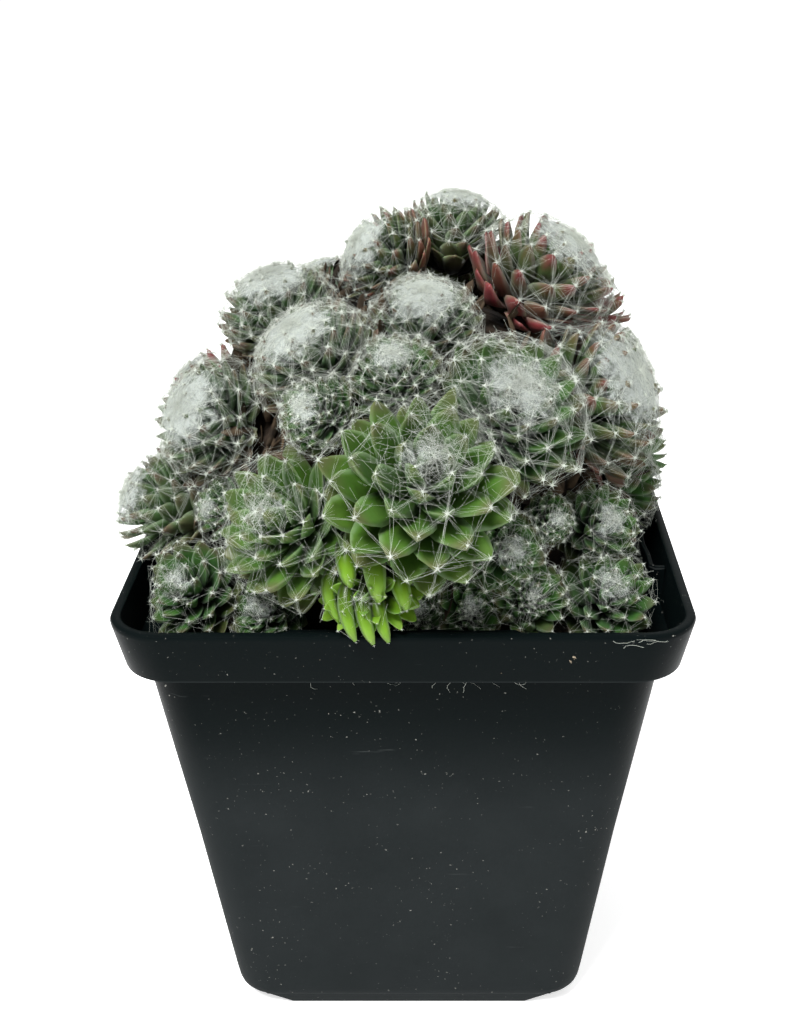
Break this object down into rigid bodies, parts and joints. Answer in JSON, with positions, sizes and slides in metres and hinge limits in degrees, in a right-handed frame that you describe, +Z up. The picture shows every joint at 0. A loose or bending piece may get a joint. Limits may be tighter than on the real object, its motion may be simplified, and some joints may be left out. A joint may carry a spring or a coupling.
{
  "type": "potted cobweb houseleek",
  "caption": "Low dome of webbed, pointed-leaf succulent rosettes crowded over a tapered square nursery pot with a banded rim and a flat foot.",
  "frame": {"origin": "centre of the flat pressed-down middle of the pot's underside, on the surface it stands on", "axes": "+Z up through the plant, -Y towards the front of the pot, +X to the right seen from the front"},
  "size_m": [0.0967, 0.1045, 0.1371],
  "materials": {
    "pot": "semi-matte moulded black, dusty and lightly scuffed",
    "soil": "damp dark peat and grit, dull",
    "mat": "dry brown stems, roots and dead leaves, dull",
    "green": "fleshy deep green leaf, waxy",
    "fresh": "fleshy bright green leaf, waxy",
    "lime": "fleshy lime green leaf, waxy and translucent",
    "olive": "fleshy olive green leaf with brownish edges",
    "pale": "fleshy green leaf under dense white wool",
    "brown": "fleshy brown and dull green older leaf",
    "red": "fleshy leaf flushed deep red"
  },
  "bodies": {
    "root": {"pot": "pot", "potting_soil": "soil", "rosette_01": "olive", "rosette_02": "brown", "rosette_03": "red", "rosette_04": "pale", "rosette_05": "pale", "rosette_06": "pale", "rosette_07": "green", "rosette_08": "green", "rosette_09": "green", "rosette_10": "brown", "rosette_11": "pale", "rosette_12": "fresh", "rosette_13": "fresh", "rosette_14": "olive", "rosette_15": "green", "rosette_16": "green", "rosette_17": "green", "rosette_18": "green", "rosette_19": "lime", "rosette_20": "green", "rosette_21": "green", "rosette_22": "green", "rosette_23": "green", "rosette_24": "green", "rosette_25": "green", "rosette_26": "olive", "rosette_27": "pale", "rosette_28": "red", "rosette_29": "green", "rosette_30": "brown", "rosette_31": "green", "rosette_32": "olive", "rosette_33": "red", "rosette_34": "green", "rosette_35": "green", "rosette_36": "olive", "rosette_37": "green", "rosette_38": "green", "rosette_39": "fresh", "rosette_40": "green", "rosette_41": "green", "stem_mat": "mat"}
  },
  "joints": []
}
